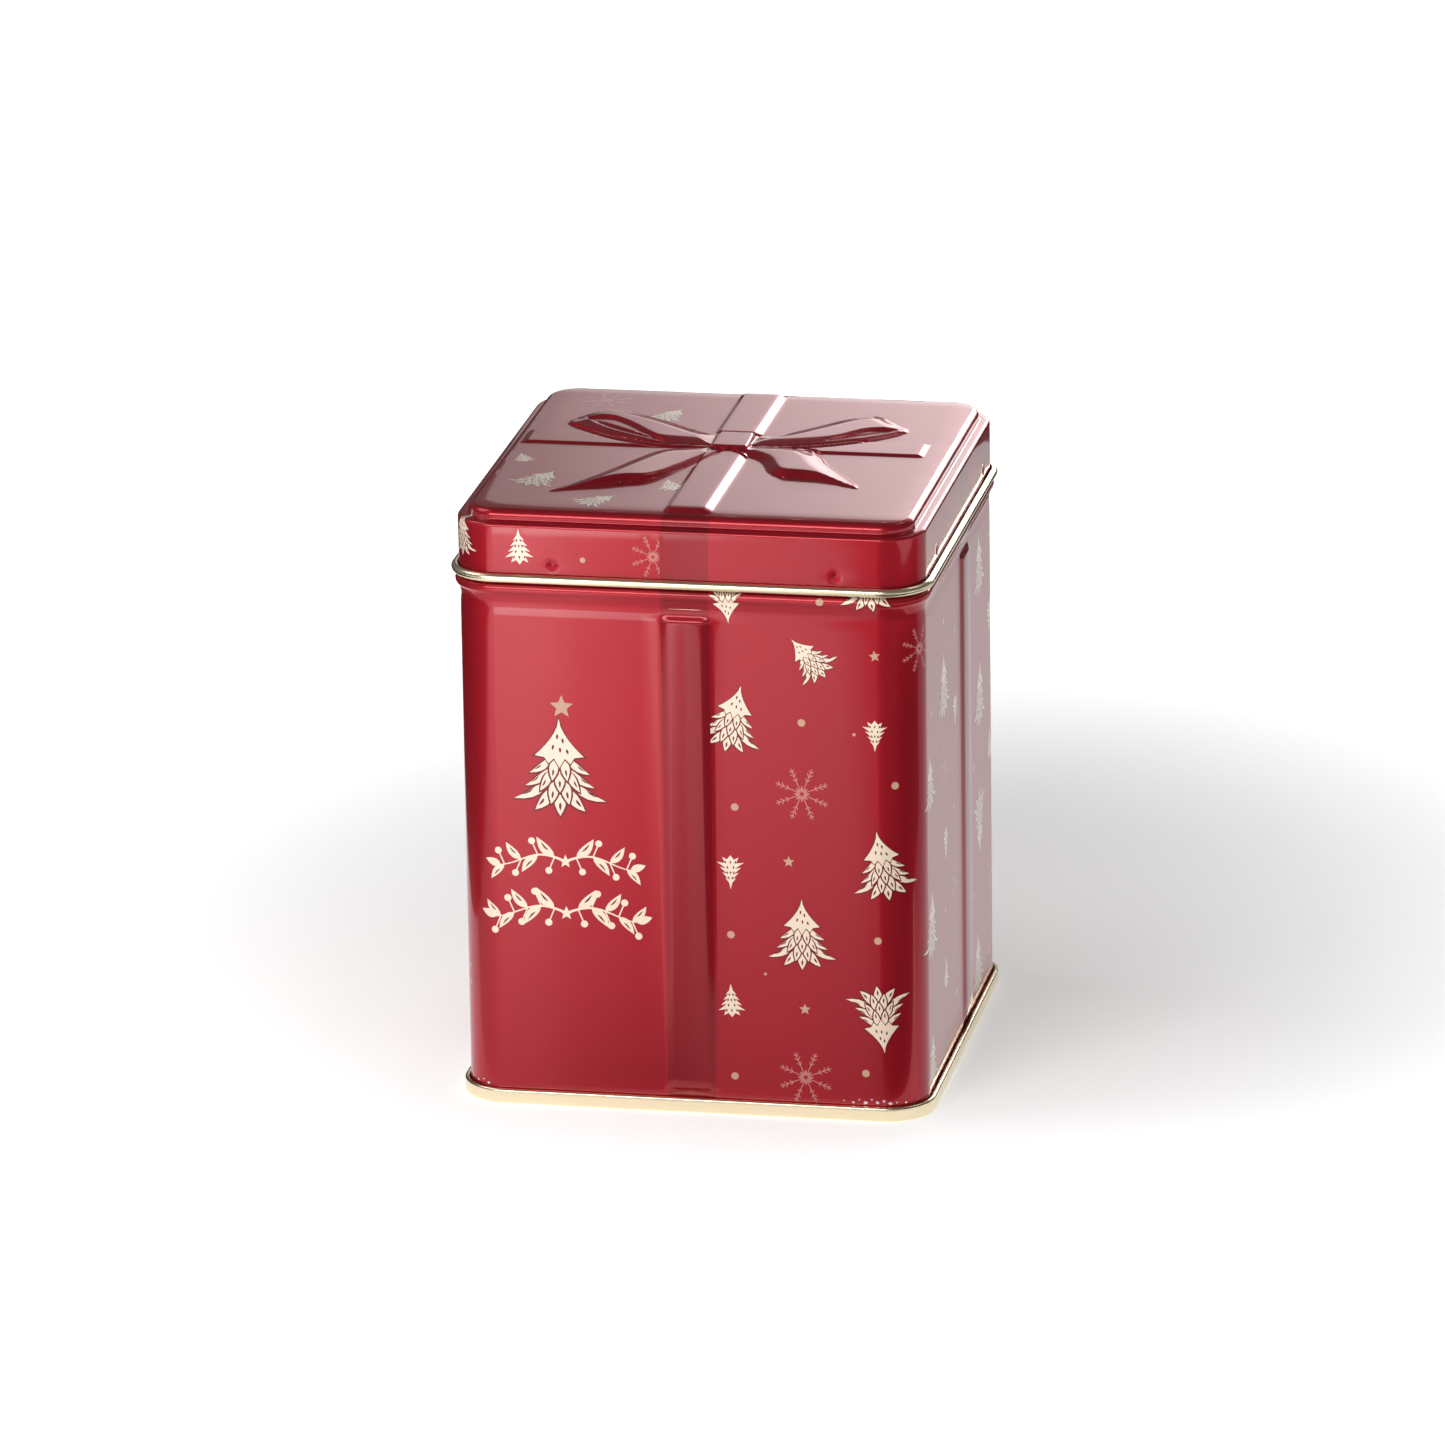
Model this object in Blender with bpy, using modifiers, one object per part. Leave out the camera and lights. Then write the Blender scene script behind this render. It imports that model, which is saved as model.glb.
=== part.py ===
"""Square pressed-tinplate gift tin with a stepped slip lid.

Three formed sheets, as such a tin is really made: a wrapped body wall, a base panel that is
double-seamed onto it, and a drawn lid with an embossed ribbon cross and bow.
Metres, +Z up, origin under the middle of the tin, front at -Y.
"""
import math

import bmesh
import bpy
from mathutils import Matrix

# ---- driving dimensions (metres) ----
BODY_HALF = 0.0450            # half the width over the flat body faces
CORNER_RADIUS = 0.0082        # outer corner radius of the body wall
SHEET = 0.00025               # tinplate thickness
TOP_Z = 0.1185                # top of the lid's flat panel
PANEL_HALF = 0.04305          # half the width over the riser around that panel
NOSE_RADIUS = 0.0010          # rounded edge of the panel
LEDGE_Z = 0.1164              # ledge between the panel's riser and the skirt
CREASE_RADIUS = 0.0004        # inner corner between riser and ledge
SHOULDER_RADIUS = 0.0007      # outer corner between ledge and skirt
SKIRT_HALF = 0.04515          # half the width over the skirt
WIRE_RADIUS = 0.00086         # curled edge at the bottom of the skirt
WIRE_Z = 0.1058               # middle height of that curl
NECK_HALF = 0.04455           # half the width over the neck inside the lid
NECK_FOOT_Z = 0.1050          # where the neck turns out into the stop bead
RIM_RADIUS = 0.0007           # inward curl at the mouth of the body
RIM_Z = 0.1130                # middle height of that curl
STOP_RADIUS = 0.00115         # section radius of the bead that stops the lid
STOP_REACH = 0.0009           # how far that bead stands out from the faces
STOP_Z = 0.1035               # middle height of that bead
GROOVE_DEPTH = 0.0003         # shallow groove under the stop bead
GROOVE_Z = 0.1008             # middle height of that groove
FACE_TOP_Z = 0.0999           # top of the flat faces
SEAM_HALF = 0.0462            # half the width over the double seam
SEAM_HEIGHT = 0.0029          # height of the double seam
SEAM_GAP = 0.00015            # air between the folded layers of the seam
PANEL_Z = 0.0030              # underside of the base panel
RIBBON_HALF = 0.00465         # half the width of an embossed ribbon at its foot
RIBBON_SLOPE = 0.0007         # width of each sloped flank
RIBBON_RISE = 0.0006          # height of a ribbon over the sheet
RIBBON_OFFSET_Y = 0.00645     # the side ribbons sit behind the middle of the tin
RIBBON_BOTTOM_Z = 0.0042      # lower end of the body ribbons
RIBBON_TOP_Z = 0.0995         # upper end of the body ribbons
RIBBON_LID_END = 0.0409       # half the length of the ribbons on the lid
BOW_RISE = 0.0010             # height of the bow over the lid panel
KNOT_RISE = 0.0017            # height of the knot over the lid panel
CORNER_STEPS = 6              # straight steps in each rounded corner

# Bow outlines on the lid panel, (x, y) in metres, anticlockwise
LEFT_LOOP = [(-0.0030, 0.0034), (-0.0030, 0.0106), (-0.0084, 0.0146), (-0.0153, 0.0200),
             (-0.0223, 0.0246), (-0.0275, 0.0260), (-0.0320, 0.0228), (-0.0348, 0.0165),
             (-0.0307, 0.0120), (-0.0230, 0.0062), (-0.0160, 0.0036)]
RIGHT_LOOP = [(0.0030, 0.0034), (0.0140, 0.0050), (0.0215, 0.0085), (0.0284, 0.0137),
              (0.0324, 0.0193), (0.0286, 0.0256), (0.0257, 0.0284), (0.0228, 0.0284),
              (0.0184, 0.0256), (0.0130, 0.0192), (0.0078, 0.0135), (0.0030, 0.0106)]
LEFT_TAIL = [(-0.0026, 0.0050), (-0.0080, 0.0022), (-0.0140, -0.0015), (-0.0200, -0.0140),
             (-0.0250, -0.0236), (-0.0289, -0.0307), (-0.0166, -0.0224), (-0.0107, -0.0198),
             (-0.0064, -0.0113), (-0.0016, 0.0004)]
RIGHT_TAIL = [(0.0020, 0.0004), (0.0074, -0.0053), (0.0115, -0.0144), (0.0192, -0.0162),
              (0.0296, -0.0206), (0.0214, -0.0068), (0.0183, -0.0003), (0.0134, 0.0040),
              (0.0026, 0.0050)]
KNOT = [(-0.0034, -0.0002), (0.0038, -0.0002), (0.0046, 0.0010), (0.0042, 0.0100),
        (0.0032, 0.0110), (-0.0030, 0.0110), (-0.0039, 0.0100), (-0.0042, 0.0010)]

RED = (0.42, 0.022, 0.036)
GOLD = (0.78, 0.58, 0.30)


def clear_scene():
    for item in list(bpy.data.objects):
        bpy.data.objects.remove(item, do_unlink=True)


def new_collection(name):
    collection = bpy.data.collections.new(name)
    bpy.context.scene.collection.children.link(collection)
    return collection


def lacquer(name, color, roughness, metallic):
    material = bpy.data.materials.new(name)
    material.use_nodes = True
    shader = material.node_tree.nodes["Principled BSDF"]
    shader.inputs["Base Color"].default_value = (*color, 1.0)
    shader.inputs["Roughness"].default_value = roughness
    shader.inputs["Metallic"].default_value = metallic
    return material


def arc(center_u, center_v, radius, start, end, steps):
    """Points of an arc, angles in degrees from the first axis."""
    points = []
    for step in range(steps + 1):
        angle = math.radians(start + (end - start) * step / steps)
        points.append((center_u + radius * math.cos(angle), center_v + radius * math.sin(angle)))
    return points


def rounded_square(half, radius):
    """The body's plan, anticlockwise."""
    points = []
    for quarter in range(4):
        middle = math.radians(45 + 90 * quarter)
        center_x = math.copysign(half - radius, math.cos(middle))
        center_y = math.copysign(half - radius, math.sin(middle))
        points += arc(center_x, center_y, radius, 90 * quarter, 90 * quarter + 90, CORNER_STEPS)
    return points


# ---- sections: (half width, height) along the face that keeps its place as the sheet thickens ----
def body_section():
    stop_u = BODY_HALF + STOP_REACH - STOP_RADIUS
    hook_radius = SHEET / 2 + SEAM_GAP
    hook_z = 2 * SHEET + SEAM_GAP + hook_radius
    points = arc(NECK_HALF - RIM_RADIUS, RIM_Z, RIM_RADIUS, 230, 0, 7)
    points += [(NECK_HALF, NECK_FOOT_Z)]
    points += arc(stop_u, STOP_Z, STOP_RADIUS, 75, -60, 6)
    points += [(BODY_HALF - 0.7 * GROOVE_DEPTH, GROOVE_Z + 0.0006),
               (BODY_HALF - GROOVE_DEPTH, GROOVE_Z),
               (BODY_HALF - 0.6 * GROOVE_DEPTH, GROOVE_Z - 0.0005),
               (BODY_HALF, FACE_TOP_Z)]
    points += arc(BODY_HALF + hook_radius, hook_z, hook_radius, 180, 360, 4)
    points += [(BODY_HALF + 2 * hook_radius, SEAM_HEIGHT - SHEET - 2 * SEAM_GAP)]
    return points


def base_section():
    chuck_u = BODY_HALF - 2 * SHEET - SEAM_GAP
    cover_hook_u = BODY_HALF + SEAM_GAP
    points = arc(chuck_u - 0.0006, PANEL_Z - 0.0006, 0.0006, 90, 0, 3)
    points += arc(chuck_u + 0.0003, 0.0003, 0.0003, 180, 270, 2)
    points += arc(SEAM_HALF - 0.0003, 0.0003, 0.0003, 270, 360, 2)
    points += arc(SEAM_HALF - 0.00045, SEAM_HEIGHT - 0.00045, 0.00045, 0, 90, 3)
    points += arc(cover_hook_u + 0.00035, SEAM_HEIGHT - 0.00035, 0.00035, 90, 180, 2)
    points += [(cover_hook_u, 4 * SHEET)]
    return points


def lid_section():
    curl_radius = WIRE_RADIUS - SHEET
    points = arc(PANEL_HALF - NOSE_RADIUS, TOP_Z - NOSE_RADIUS, NOSE_RADIUS, 90, 0, 4)
    points += arc(PANEL_HALF + CREASE_RADIUS, LEDGE_Z + CREASE_RADIUS, CREASE_RADIUS, 180, 270, 2)
    points += arc(SKIRT_HALF - SHOULDER_RADIUS, LEDGE_Z - SHOULDER_RADIUS, SHOULDER_RADIUS, 90, 0, 3)
    points += arc(SKIRT_HALF + curl_radius, WIRE_Z, curl_radius, 180, 465, 9)
    return points


# ---- sheets ----
def poly_curve(name, points, closed, guides):
    curve = bpy.data.curves.new(name, "CURVE")
    curve.dimensions = "2D"
    curve.fill_mode = "NONE"
    spline = curve.splines.new("POLY")
    spline.points.add(len(points) - 1)
    for target, (x, y) in zip(spline.points, points):
        target.co = (x, y, 0.0, 1.0)
    spline.use_cyclic_u = closed
    item = bpy.data.objects.new(name, curve)
    guides.objects.link(item)
    return item


def swept_surface(name, section, guides):
    """The open surface that a section draws when it is carried around the plan."""
    path = poly_curve(name + "_path", rounded_square(BODY_HALF, CORNER_RADIUS), True, guides)
    # A section's +X side lies inside an anticlockwise path
    offsets = [(BODY_HALF - half, height) for half, height in section]
    profile = poly_curve(name + "_section", offsets, False, guides)
    path.data.bevel_mode = "OBJECT"
    path.data.bevel_object = profile
    depsgraph = bpy.context.evaluated_depsgraph_get()
    mesh = bpy.data.meshes.new_from_object(path.evaluated_get(depsgraph))
    bpy.data.objects.remove(path, do_unlink=True)
    bpy.data.objects.remove(profile, do_unlink=True)
    return mesh


def close_and_orient(mesh, panel_z, widest_faces_out):
    """Fill the panel inside the section's first ring, and point the kept face the right way."""
    sheet = bmesh.new()
    sheet.from_mesh(mesh)
    bmesh.ops.remove_doubles(sheet, verts=sheet.verts, dist=1e-7)
    if panel_z is not None:
        ring = [e for e in sheet.edges
                if e.is_boundary and max(abs(v.co.z - panel_z) for v in e.verts) < 1e-6]
        bmesh.ops.contextual_create(sheet, geom=ring)
    bmesh.ops.recalc_face_normals(sheet, faces=sheet.faces)
    widest = max(sheet.faces, key=lambda face: face.calc_center_median().xy.length)
    faces_out = widest.normal.xy.dot(widest.calc_center_median().xy) > 0
    if faces_out != widest_faces_out:
        bmesh.ops.reverse_faces(sheet, faces=sheet.faces)
    sheet.to_mesh(mesh)
    sheet.free()


def formed_sheet(name, section, panel_z, widest_faces_out, material, parts, guides):
    mesh = swept_surface(name, section, guides)
    close_and_orient(mesh, panel_z, widest_faces_out)
    mesh.name = name
    mesh.materials.clear()
    mesh.materials.append(material)
    item = bpy.data.objects.new(name, mesh)
    parts.objects.link(item)
    solidify = item.modifiers.new("sheet", "SOLIDIFY")
    solidify.thickness = SHEET
    solidify.offset = -1.0
    solidify.use_even_offset = True
    return item


# ---- embossing ----
def raised_patch(name, outline, rise, shift, placing, cutters):
    """A patch over the plane z=shift with sloped flanks, and a root that reaches below it."""
    root_z = -0.4 * SHEET if shift == 0.0 else shift - 2 * SHEET
    solid = bmesh.new()
    foot = solid.faces.new([solid.verts.new((x, y, root_z)) for x, y in outline])
    grown = bmesh.ops.extrude_face_region(solid, geom=[foot])["geom"]
    lifted = [part for part in grown if isinstance(part, bmesh.types.BMVert)]
    cap = [part for part in grown if isinstance(part, bmesh.types.BMFace)]
    bmesh.ops.translate(solid, verts=lifted, vec=(0.0, 0.0, shift - root_z))
    bmesh.ops.recalc_face_normals(solid, faces=solid.faces)
    bmesh.ops.inset_region(solid, faces=cap, thickness=RIBBON_SLOPE, depth=rise, use_even_offset=True)
    mesh = bpy.data.meshes.new(name)
    solid.to_mesh(mesh)
    solid.free()
    item = bpy.data.objects.new(name, mesh)
    item.matrix_world = placing
    item.hide_render = True
    item.display_type = "WIRE"
    cutters.objects.link(item)
    return item


def boolean(target, cutter, operation):
    modifier = target.modifiers.new(cutter.name, "BOOLEAN")
    modifier.operation = operation
    modifier.solver = "EXACT"
    modifier.object = cutter


def emboss(target, patches, cutters):
    """Raise each patch from the sheet, then hollow the sheet behind it by the same shape."""
    for name, outline, rise, placing in patches:
        boolean(target, raised_patch(name, outline, rise, 0.0, placing, cutters), "UNION")
    for name, outline, rise, placing in patches:
        hollow = raised_patch(name + "_back", outline, rise, -SHEET, placing, cutters)
        boolean(target, hollow, "DIFFERENCE")


def strip(low, high, half):
    return [(-half, low), (half, low), (half, high), (-half, high)]


def body_ribbons():
    """One upright ribbon on each face: front, right, back, left."""
    patches = []
    outline = strip(RIBBON_BOTTOM_Z, RIBBON_TOP_Z, RIBBON_HALF)
    for index, side in enumerate(("front", "right", "back", "left")):
        along = {"right": RIBBON_OFFSET_Y, "left": -RIBBON_OFFSET_Y}.get(side, 0.0)
        turn = Matrix.Rotation(math.radians(90 * index), 4, "Z")
        stand = Matrix.Rotation(math.radians(90), 4, "X")
        placing = turn @ Matrix.Translation((along, -BODY_HALF, 0.0)) @ stand
        patches.append((side + "_ribbon", outline, RIBBON_RISE, placing))
    return patches


def lid_patches():
    top = Matrix.Translation((0.0, 0.0, TOP_Z))
    across = Matrix.Translation((0.0, RIBBON_OFFSET_Y, TOP_Z)) @ Matrix.Rotation(math.radians(90), 4, "Z")
    outline = strip(-RIBBON_LID_END, RIBBON_LID_END, RIBBON_HALF)
    return [("lid_ribbon_lengthways", outline, RIBBON_RISE, top),
            ("lid_ribbon_across", outline, RIBBON_RISE, across),
            ("bow_left_tail", LEFT_TAIL, BOW_RISE, top),
            ("bow_right_tail", RIGHT_TAIL, BOW_RISE, top),
            ("bow_left_loop", LEFT_LOOP, BOW_RISE, top),
            ("bow_right_loop", RIGHT_LOOP, BOW_RISE, top),
            ("bow_knot", KNOT, KNOT_RISE, top)]


def lift_axis(lid, parts):
    """An empty on the lid's straight way off, at the height of its lower edge."""
    axis = bpy.data.objects.new("lid_lift_axis", None)
    axis.location = (0.0, 0.0, WIRE_Z - WIRE_RADIUS)
    parts.objects.link(axis)
    lid.parent = axis
    lid.location = (0.0, 0.0, WIRE_RADIUS - WIRE_Z)


def main():
    clear_scene()
    parts = new_collection("gift_tin")
    cutters = new_collection("gift_tin_cutters")
    red = lacquer("red_lacquer", RED, 0.22, 0.35)
    gold = lacquer("gold_lacquer", GOLD, 0.25, 0.9)

    body = formed_sheet("body_wall", body_section(), None, True, red, parts, cutters)
    emboss(body, body_ribbons(), cutters)
    formed_sheet("base_panel", base_section(), PANEL_Z, True, gold, parts, cutters)
    lid = formed_sheet("lid", lid_section(), TOP_Z, False, red, parts, cutters)
    emboss(lid, lid_patches(), cutters)
    lift_axis(lid, parts)


main()
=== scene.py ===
"""Looks of the square gift tin: three formed sheets that replace the plain CAD solids, each with its
print cut into the mesh, and a plain studio around them. Sheets are worked out in millimetres."""

import math

import bmesh
import bpy
import numpy as np
from mathutils import Matrix, Vector
from mathutils.geometry import delaunay_2d_cdt


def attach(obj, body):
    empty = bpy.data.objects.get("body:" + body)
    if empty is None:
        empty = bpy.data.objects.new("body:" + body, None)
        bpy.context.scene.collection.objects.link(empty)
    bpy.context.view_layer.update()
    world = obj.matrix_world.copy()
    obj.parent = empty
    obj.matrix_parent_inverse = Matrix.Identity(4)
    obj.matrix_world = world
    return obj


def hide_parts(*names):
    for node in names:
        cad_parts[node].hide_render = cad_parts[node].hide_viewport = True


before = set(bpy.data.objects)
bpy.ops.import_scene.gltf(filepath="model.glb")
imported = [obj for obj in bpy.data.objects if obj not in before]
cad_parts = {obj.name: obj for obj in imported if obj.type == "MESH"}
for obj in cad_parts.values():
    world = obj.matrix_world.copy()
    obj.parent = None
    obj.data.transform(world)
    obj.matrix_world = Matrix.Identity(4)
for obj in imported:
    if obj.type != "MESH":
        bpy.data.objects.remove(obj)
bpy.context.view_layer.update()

MM = 0.001

# ---- driving dimensions, mm; as in the CAD, except where a note says otherwise ----
BODY_HALF = 45.0  # half the width over the flat body faces
CORNER_RADIUS = 8.2
SHEET = 0.25  # tinplate thickness
TOP_Z = 118.5  # flat panel of the lid
PANEL_HALF = 43.05  # half the width over the riser around that panel
NOSE_RADIUS = 1.5  # rounded edge of the panel, wider than the CAD's
LEDGE_Z = 116.4  # ledge between the panel's riser and the skirt
CREASE_RADIUS = 0.4  # inner corner between riser and ledge
SHOULDER_RADIUS = 0.7  # outer corner between ledge and skirt
SKIRT_HALF = 45.15
WIRE_RADIUS = 0.86  # curled edge at the bottom of the skirt
WIRE_Z = 105.8
NECK_HALF = 44.55  # half the width over the neck inside the lid
NECK_FOOT_Z = 105.0
RIM_RADIUS = 0.7  # inward curl at the mouth of the body
RIM_Z = 113.0
STOP_RADIUS = 1.15  # section radius of the bead that stops the lid
STOP_REACH = 0.9  # how far that bead stands out from the faces
STOP_Z = 103.5
GROOVE_DEPTH = 0.12  # groove under the stop bead, shallower than the CAD's
GROOVE_Z = 100.8
FACE_TOP_Z = 99.9
SEAM_HALF = 46.2
SEAM_HEIGHT = 2.9
SEAM_GAP = 0.15  # air between the folded layers of the seam
PANEL_Z = 3.0
BASE_STEP_HALF = 36.0  # half the width of the raised middle of the base panel
BASE_STEP_RISE, BASE_STEP_SLOPE = 0.5, 1.2  # its height, and the width of the slope around it
RIBBON_HALF = 4.65  # half the width of a lid ribbon at its foot, and of every ribbon's print
RIBBON_OFFSET_Y = 6.45  # the side ribbons sit behind the middle of the tin
RIBBON_BOTTOM_Z = 4.2
RIBBON_TOP_Z = 99.5

# ---- relief, mm: softer and fuller than the CAD's, within its box ----
RIBBON_RISE = 0.6  # height of the upright ribbons
BODY_RIBBON_HALF = 5.3  # half their width at the foot
BODY_RIBBON_SLOPE = 2.0  # width of their flanks
JOIN_DEPTH = 0.12  # line of the side seam
LENGTHWAYS_RISE = 0.75  # height of the lengthways ribbon on the lid
CROSSWISE_RISE = 0.42  # height of the crosswise one
LID_SLOPE = 0.9  # width of their flanks
LID_RIGHT_SLOPE = 1.8  # width of the lengthways ribbon's right-hand flank
RIBBON_LID_END = 40.9  # half the length of the lengthways ribbon
CROSSWISE_LEFT_END = 41.0
CROSSWISE_RIGHT_END = 38.0
BEHIND_DEPTH = 0.12  # groove behind the crosswise ribbon
BOW_RISE = 1.05  # height of the bow's loops beside the knot
KNOT_RISE = 1.45
BOW_GROOVE_DEPTH = 0.32  # groove pressed around the bow
BOW_GROOVE_WIDTH = 1.5
PANEL_CROWN = 0.16  # rise of the lid panel over its outer 4 mm
PANEL_EDGE_ANGLE = 4.6  # degrees, its slope at the edge
DIMPLE_ACROSS = (-25.4, 29.2)  # pressed dimples on each side of the lid's skirt
DIMPLE_Z = 108.6
DIMPLE_DEPTH = 0.28
DIMPLE_RADIUS = 0.8

FLAT = 2 * (BODY_HALF - CORNER_RADIUS)
TURN = 0.5 * math.pi * CORNER_RADIUS
QUARTER = FLAT + TURN
JOIN_U = 2 * QUARTER + 30.0  # the side seam is on the back, 30 mm to one side of its ribbon
ALL_ROUND = range(-2, 3)  # the sides that a strip from seam to seam crosses, the back twice

# ---- inks: the material slots of a printed sheet ----
RED, RIBBON_RED, CREAM, TAN, FROST, LINE, BARE, GOLD = range(8)

# ---- studio, in metres ----
WORLD_LEVEL = 0.1
FLOOR_REACH = 4.0
FLOOR_NEAR, FLOOR_FAR = 0.33, 1.0  # painted glow of the floor by the tin and away from it, less by the tin as a painted shadow
SHADE_MIDDLE = (0.01, 0.08, 0.0)  # middle of the painted shadow on the floor
SHADE_INNER, SHADE_OUTER = 0.05, 0.26  # radii between which the painted glow grows
BLACK, PALE = 0.01, 0.9  # paint of the cards and of the floor
CARD_Z = 0.002  # the cards lie just over the floor
# Brightness of the front card's painted glow by where it shows across the front face
CARD_BANDS = [(-0.175, 0.01), (-0.130, 0.60), (-0.068, 0.66), (-0.034, 0.88), (-0.019, 0.49), (-0.008, 0.34),
              (0.008, 0.54), (0.033, 0.49), (0.045, 0.02)]
CARD_REACH = 0.18  # the bands run this far to both sides
# Softboxes: name, place, aim, size, radiance; a radiance of 1 is graded afterwards
SOFTBOXES = [
    ("key", (-0.34, -1.25, 0.66), (0.0, 0.0, 0.06), (0.95, 0.42), 6.4),
    ("left", (-0.9, -0.1, 1.1), (0.0, 0.0, 0.0), (0.7, 0.7), 2.2),
    ("top", (0.42, 0.48, 1.0), (0.0, 0.0, 0.1), (0.3, 0.3), 1.6),
    ("back", (0.05, 0.62, 0.305), (0.05, -0.146, 0.948), (0.5, 0.36), 1.0),
    ("back_right", (0.08, 0.628, 0.299), (0.08, -0.138, 0.942), (0.12, 0.36), 4.4),
    ("glint", (-0.105, -0.43, 0.012), (-0.105, -0.43, 1.0), (0.11, 0.12), 1.0),
]
# Upright black cards: name, left and right end, lower and upper edge
FLAGS = [
    ("flag_right", (0.13, -0.13), (0.22, 0.03), 0.0, 0.075),
    ("flag_left", (-0.15, -0.08), (-0.15, 0.15), 0.0, 0.10),
    ("flag_back", (-0.6, 0.3), (0.06, 0.3), 0.0, 0.125),
    ("flag_back_right", (0.06, 0.3), (0.3, 0.3), 0.035, 0.125),
]


def add_camera():
    """The photograph's view: a long lens, a little above the lid and to the right."""
    yaw, pitch, roll = 0.1907, 0.3088, -0.0150
    distance, target = 2.01504, Vector((-0.001708, 0.0, 0.064081))
    forward = Vector((-math.sin(yaw) * math.cos(pitch), math.cos(yaw) * math.cos(pitch), -math.sin(pitch)))
    right = Vector((math.cos(yaw), math.sin(yaw), 0.0))
    up = right.cross(forward)
    tilted_right = math.cos(roll) * right + math.sin(roll) * up
    tilted_up = math.cos(roll) * up - math.sin(roll) * right
    camera = bpy.data.objects.new("camera", bpy.data.cameras.new("camera"))
    camera.data.sensor_width = 36.0
    camera.data.lens = 258.2
    camera.data.clip_end = 100.0
    camera.matrix_world = Matrix.Translation(target - distance * forward) @ Matrix(
        (tilted_right, tilted_up, -forward)).transposed().to_4x4()
    bpy.context.scene.collection.objects.link(camera)
    bpy.context.scene.camera = camera


def add_softbox(name, at, aim, size, radiance):
    """An area light at a place, facing aim, as bright as radiance says whatever its size."""
    light = bpy.data.lights.new(name, "AREA")
    light.shape = "RECTANGLE"
    light.size, light.size_y = size
    light.energy = radiance * math.pi * size[0] * size[1]
    item = bpy.data.objects.new(name, light)
    item.location = at
    item.rotation_euler = (Vector(at) - Vector(aim)).to_track_quat("Z", "Y").to_euler()
    item.visible_camera = False
    bpy.context.scene.collection.objects.link(item)
    return light


def fade(light, start, end, first, last, outwards=False):
    """Grades a softbox along its width, or from its middle outwards."""
    light.use_nodes = True
    tree = light.node_tree
    at = node(tree, "ShaderNodeNewGeometry").outputs["Parametric"]
    if outwards:
        away = distance_from(tree, at, (0.5, 0.5, 0.0))
        level = level_map(tree, away, start, end, first, last, "SMOOTHSTEP")
    else:
        width = node(tree, "ShaderNodeSeparateXYZ", Vector=at).outputs["X"]
        level = level_map(tree, width, start, end, first, last)
    tree.links.new(level, tree.nodes["Emission"].inputs["Strength"])


def only_in_reflections(item):
    item.visible_camera = False
    item.visible_diffuse = False
    item.visible_shadow = False
    item.visible_transmission = False


def flat_mesh(name, corners, material):
    mesh = bpy.data.meshes.new(name)
    mesh.from_pydata(corners, [], [(0, 1, 2, 3)])
    mesh.materials.append(material)
    item = bpy.data.objects.new(name, mesh)
    bpy.context.scene.collection.objects.link(item)
    return item


def matt_paint(name, level):
    return principled(name, Base_Color=(level, level, level, 1.0), Roughness=0.9, Specular_IOR_Level=0.0,
                      Emission_Color=(1.0, 1.0, 1.0, 1.0))


def distance_from(tree, position, middle):
    away = node(tree, "ShaderNodeVectorMath", operation="DISTANCE")
    away.inputs[1].default_value = middle
    tree.links.new(position, away.inputs[0])
    return away.outputs["Value"]


def flat_card(name, left, right, near, far, z, material):
    return flat_mesh(name, [(left, near, z), (right, near, z), (right, far, z), (left, far, z)], material)


def add_flag(name, left, right, low, high):
    """A photographer's black card that only shows in reflections."""
    corners = [(*left, low), (*right, low), (*right, high), (*left, high)]
    only_in_reflections(flat_mesh(name, corners, matt_paint(name, BLACK)[0]))


def add_floor():
    """Pale acrylic whose paint glows as well, a painted light, and glows less around the tin, a painted
    shadow.
    """
    material, shader = matt_paint("floor_paint", PALE)
    tree = material.node_tree
    away = distance_from(tree, object_place(tree), SHADE_MIDDLE)
    glow = level_map(tree, away, SHADE_INNER, SHADE_OUTER, FLOOR_NEAR, FLOOR_FAR, "SMOOTHSTEP")
    tree.links.new(glow, shader.inputs["Emission Strength"])
    flat_card("floor", -FLOOR_REACH, FLOOR_REACH, -FLOOR_REACH, FLOOR_REACH, 0.0, material)


def add_front_card():
    """A graded glowing card, painted light, that lies before the tin and only shows in reflections. The front
    face
    mirrors it as a painted reflection: brighter upwards and to the left, dark beyond the face's edges."""
    material, shader = matt_paint("front_card", BLACK)
    tree = material.node_tree
    at = node(tree, "ShaderNodeSeparateXYZ", Vector=object_place(tree)).outputs
    # A point (x, y) of the card shows across the front face at about x - 0.2 y - 0.009
    skew, shift = -0.2, 0.009
    across = node(tree, "ShaderNodeMath", operation="MULTIPLY_ADD")
    across.inputs[1].default_value = skew
    tree.links.new(at["Y"], across.inputs[0])
    tree.links.new(at["X"], across.inputs[2])
    share = level_map(tree, across.outputs["Value"], shift - CARD_REACH, shift + CARD_REACH, 0.0, 1.0)
    bands = node(tree, "ShaderNodeValToRGB", Fac=share)
    bands.color_ramp.interpolation = "EASE"
    stops = bands.color_ramp.elements
    while len(stops) < len(CARD_BANDS):
        stops.new(1.0)
    for stop, (place_across, level) in zip(stops, CARD_BANDS):
        stop.position = (place_across + CARD_REACH) / (2.0 * CARD_REACH)
        stop.color = (level, level, level, 1.0)
    # The edge by the tin shows at the foot of the face, a place 0.345 before the middle near its top
    upwards = level_map(tree, at["Y"], -0.045, -0.345, 0.85, 3.3)
    glow = node(tree, "ShaderNodeMath", operation="MULTIPLY")
    tree.links.new(bands.outputs["Color"], glow.inputs[0])
    tree.links.new(upwards, glow.inputs[1])
    tree.links.new(glow.outputs["Value"], shader.inputs["Emission Strength"])
    only_in_reflections(flat_card("front_card", -0.5, 0.35, -0.8, -0.05, CARD_Z, material))


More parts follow.
